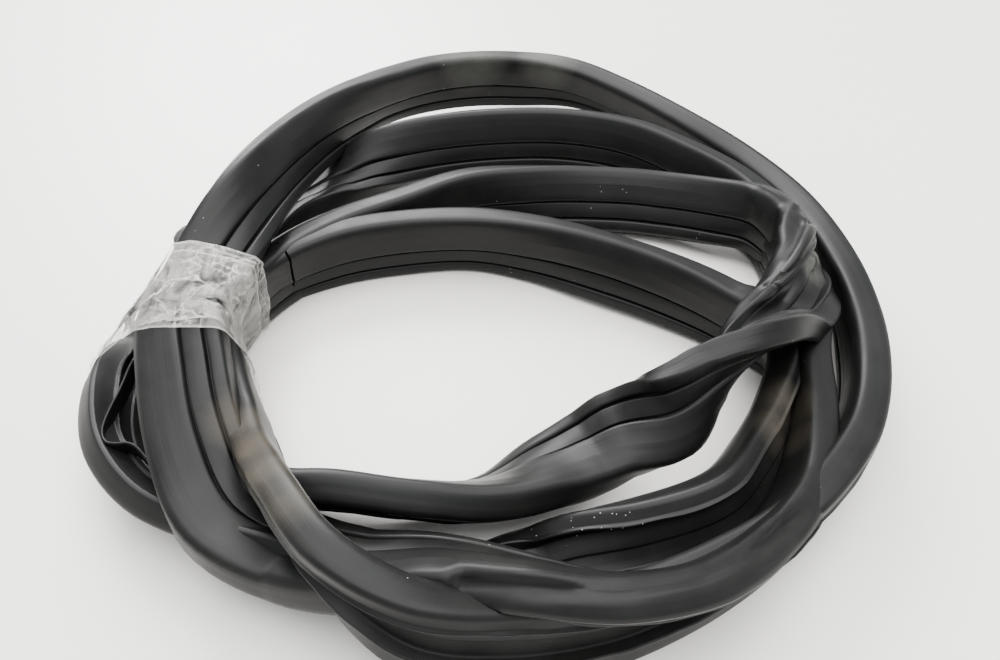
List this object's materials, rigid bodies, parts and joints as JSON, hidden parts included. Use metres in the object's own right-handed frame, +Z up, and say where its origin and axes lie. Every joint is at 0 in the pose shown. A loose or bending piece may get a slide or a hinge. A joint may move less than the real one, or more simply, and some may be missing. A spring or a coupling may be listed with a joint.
{
  "type": "car door seal",
  "caption": "Coiled rubber car door seal, a closed loop with a soft bulb, two ribs and a moulded corner, held in a bundle by clear tape.",
  "frame": {"origin": "under the middle of the coil's box, on the ground that it lies on", "axes": "+Z up; +Y away from the near side of the coil, with the taped bundle at -X"},
  "size_m": [0.3624, 0.4099, 0.0693],
  "materials": {
    "rubber": "satin black moulded rubber, slightly dusty",
    "tape": "clear, creased packing tape"
  },
  "bodies": {
    "root": {"door_seal": "rubber", "tape_wrap": "tape"}
  },
  "joints": []
}
